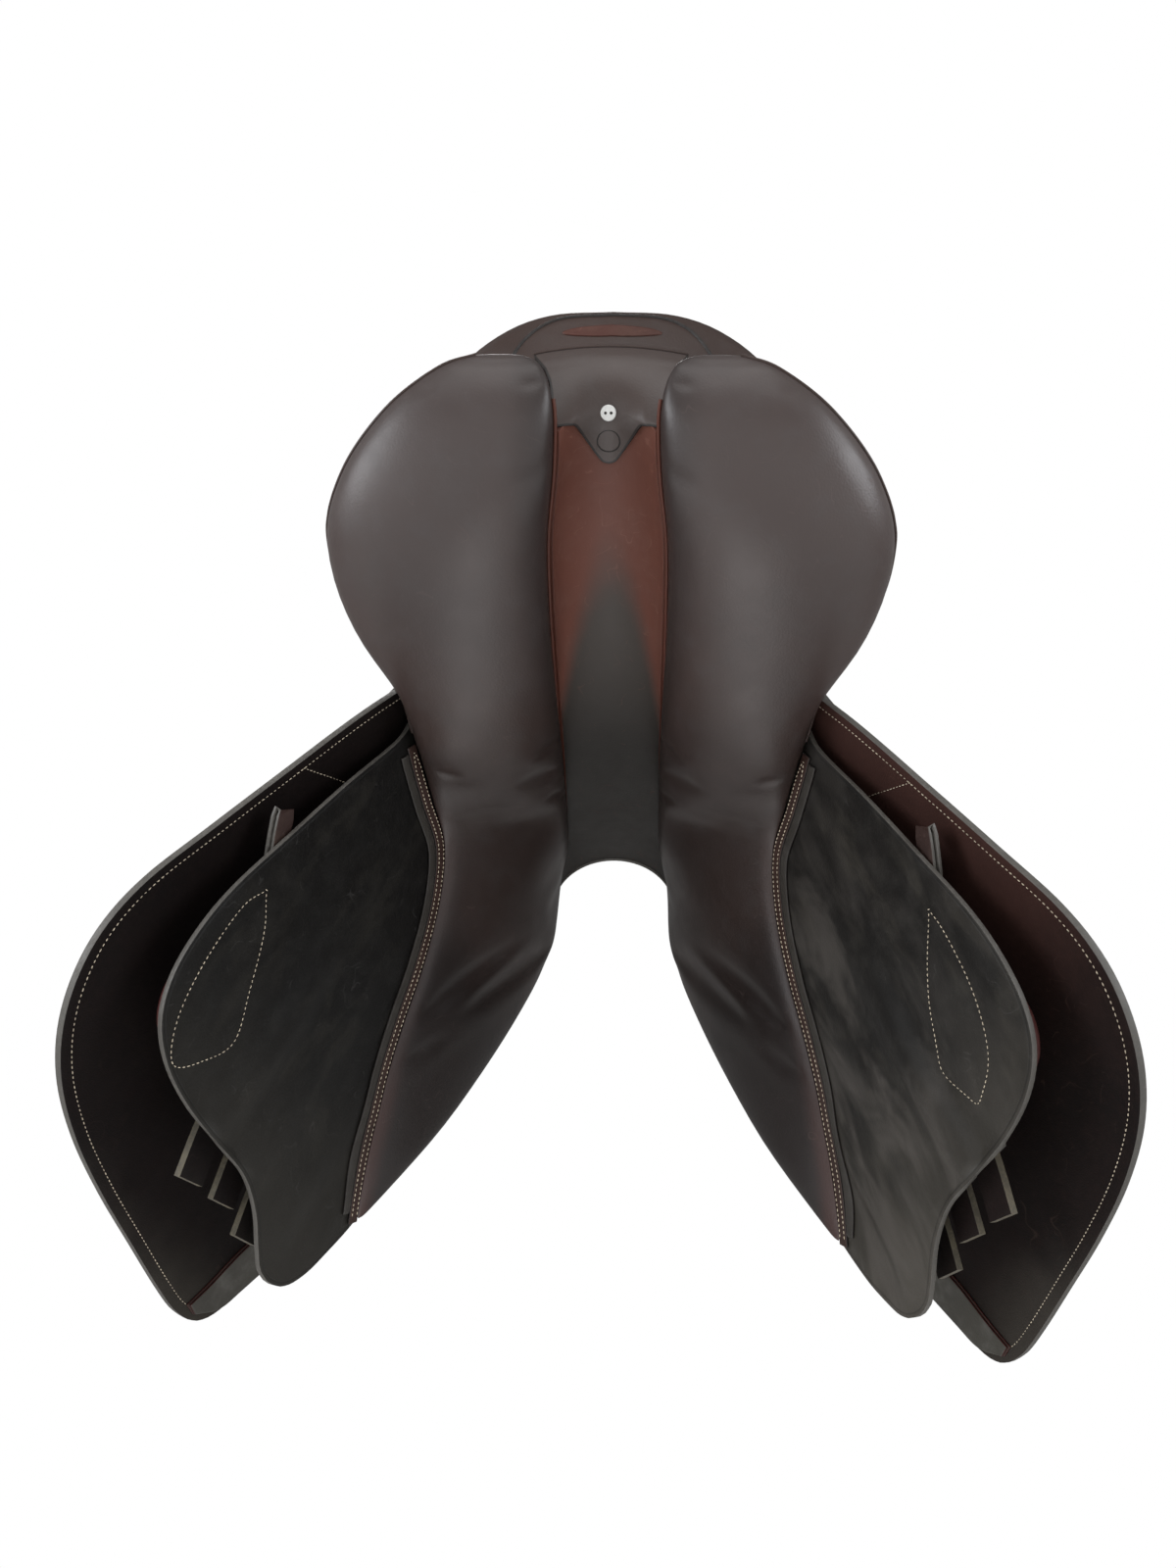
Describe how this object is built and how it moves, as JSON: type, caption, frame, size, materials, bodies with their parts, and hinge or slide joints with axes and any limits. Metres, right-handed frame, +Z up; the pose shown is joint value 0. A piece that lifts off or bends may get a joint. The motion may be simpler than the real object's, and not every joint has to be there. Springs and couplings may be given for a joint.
{
  "type": "jumping saddle",
  "caption": "Close-contact jumping saddle with forward flaps, flocked panels either side of an open channel, girth straps, stirrup bars and dee rings.",
  "frame": {"origin": "on the centre plane, on the level that the panels bear on the horse's back, under the lowest part of the seat", "axes": "+X towards the horse's head, +Y to the horse's left, +Z up through the seat"},
  "size_m": [0.5458, 0.59, 0.483],
  "materials": {
    "panel_leather": "dark chocolate, waxed",
    "seat_leather": "dark brown, smooth",
    "sweat_leather": "near-black olive, worn",
    "flap_leather": "very dark brown, suede side in",
    "knee_pad_leather": "soft grained",
    "lining_leather": "red-brown, scratched",
    "welt_leather": "red-brown welt",
    "trim_leather": "grey-brown",
    "block_leather": "maroon",
    "strap_leather": "oiled strap leather",
    "white_button": "white, two holes",
    "seat_foam": "foam",
    "tree_wood": "laminated beech",
    "linen_web": "woven web",
    "tree_steel": "forged steel",
    "nickel_plate": "nickel plated"
  },
  "bodies": {
    "saddle": {"panel_left": "panel_leather", "panel_right": "panel_leather", "seat_cover": "seat_leather", "sweat_flap_left": "sweat_leather", "sweat_flap_right": "sweat_leather", "skirt_band_left": "flap_leather", "skirt_band_right": "flap_leather", "channel_lining": "lining_leather", "seam_strip_left": "welt_leather", "seam_strip_right": "welt_leather", "rear_tongue": "trim_leather", "cantle_facing": "trim_leather", "flap_keeper_left": "trim_leather", "flap_keeper_right": "trim_leather", "dee_chape_left": "trim_leather", "dee_chape_right": "trim_leather", "thigh_block_left": "block_leather", "thigh_block_right": "block_leather", "knee_block_left": "block_leather", "knee_block_right": "block_leather", "tongue_button": "white_button", "seat_foam": "seat_foam", "cantle_board": "tree_wood", "tree_point_left": "tree_wood", "tree_point_right": "tree_wood", "tree_rail_left": "tree_wood", "tree_rail_right": "tree_wood", "seat_web_left": "linen_web", "seat_web_right": "linen_web", "girth_web_left": "linen_web", "girth_web_right": "linen_web", "gullet_plate": "tree_steel", "tree_spring_left": "tree_steel", "tree_spring_right": "tree_steel", "stirrup_bar_left": "tree_steel", "stirrup_bar_right": "tree_steel", "catch_pin_left": "tree_steel", "catch_pin_right": "tree_steel"},
    "flap_left": {"flap_left": "flap_leather", "knee_pad_left": "knee_pad_leather"},
    "skirt_left": {"skirt_left": "flap_leather"},
    "billets_left": {"billet_rear_left": "strap_leather", "billet_middle_left": "strap_leather", "billet_front_left": "strap_leather"},
    "guard_left": {"girth_guard_left": "flap_leather", "guard_loop_left": "flap_leather"},
    "catch_left": {"bar_catch_left": "tree_steel"},
    "dee_left": {"dee_ring_left": "nickel_plate"},
    "flap_right": {"flap_right": "flap_leather", "knee_pad_right": "knee_pad_leather"},
    "skirt_right": {"skirt_right": "flap_leather"},
    "billets_right": {"billet_rear_right": "strap_leather", "billet_middle_right": "strap_leather", "billet_front_right": "strap_leather"},
    "guard_right": {"girth_guard_right": "flap_leather", "guard_loop_right": "flap_leather"},
    "catch_right": {"bar_catch_right": "tree_steel"},
    "dee_right": {"dee_ring_right": "nickel_plate"}
  },
  "joints": [
    {"name": "flap_lift_left", "type": "hinge", "parent": "saddle", "child": "flap_left", "pos_m": [-0.05, 0.128, 0.044], "axis": [0.9644, -0.2499, 0.0866], "range_deg": [0, 30]},
    {"name": "skirt_lift_left", "type": "hinge", "parent": "flap_left", "child": "skirt_left", "pos_m": [-0.05, 0.128, 0.044], "axis": [0.9644, -0.2499, 0.0866], "range_deg": [0, 15]},
    {"name": "billet_swing_left", "type": "hinge", "parent": "saddle", "child": "billets_left", "pos_m": [0.002, 0.12792, 0.004], "axis": [0.9775, -0.2108, 0], "range_deg": [0, 4.5]},
    {"name": "guard_slide_left", "type": "hinge", "parent": "billets_left", "child": "guard_left", "pos_m": [-0.12523, -0.52021, -0.43979], "axis": [0.9596, -0.2786, 0.0401], "range_deg": [0, 2.8]},
    {"name": "catch_lift_left", "type": "hinge", "parent": "saddle", "child": "catch_left", "pos_m": [0.04763, 0.1111, 0.03818], "axis": [0.2275, 0.9291, 0.2916], "range_deg": [0, 12]},
    {"name": "dee_swing_left", "type": "hinge", "parent": "saddle", "child": "dee_left", "pos_m": [0.2138, 0.049, 0.08], "axis": [0, -1, 0], "range_deg": [0, 80]},
    {"name": "flap_lift_right", "type": "hinge", "parent": "saddle", "child": "flap_right", "pos_m": [-0.05, -0.128, 0.044], "axis": [-0.9644, -0.2499, -0.0866], "range_deg": [0, 30]},
    {"name": "skirt_lift_right", "type": "hinge", "parent": "flap_right", "child": "skirt_right", "pos_m": [-0.05, -0.128, 0.044], "axis": [-0.9644, -0.2499, -0.0866], "range_deg": [0, 15]},
    {"name": "billet_swing_right", "type": "hinge", "parent": "saddle", "child": "billets_right", "pos_m": [0.002, -0.12792, 0.004], "axis": [-0.9775, -0.2108, 0], "range_deg": [0, 4.5]},
    {"name": "guard_slide_right", "type": "hinge", "parent": "billets_right", "child": "guard_right", "pos_m": [-0.12523, 0.52021, -0.43979], "axis": [-0.9596, -0.2786, -0.0401], "range_deg": [0, 2.8]},
    {"name": "catch_lift_right", "type": "hinge", "parent": "saddle", "child": "catch_right", "pos_m": [0.04763, -0.1111, 0.03818], "axis": [-0.2275, 0.9291, -0.2916], "range_deg": [0, 12]},
    {"name": "dee_swing_right", "type": "hinge", "parent": "saddle", "child": "dee_right", "pos_m": [0.2138, -0.049, 0.08], "axis": [0, -1, 0], "range_deg": [0, 80]}
  ]
}
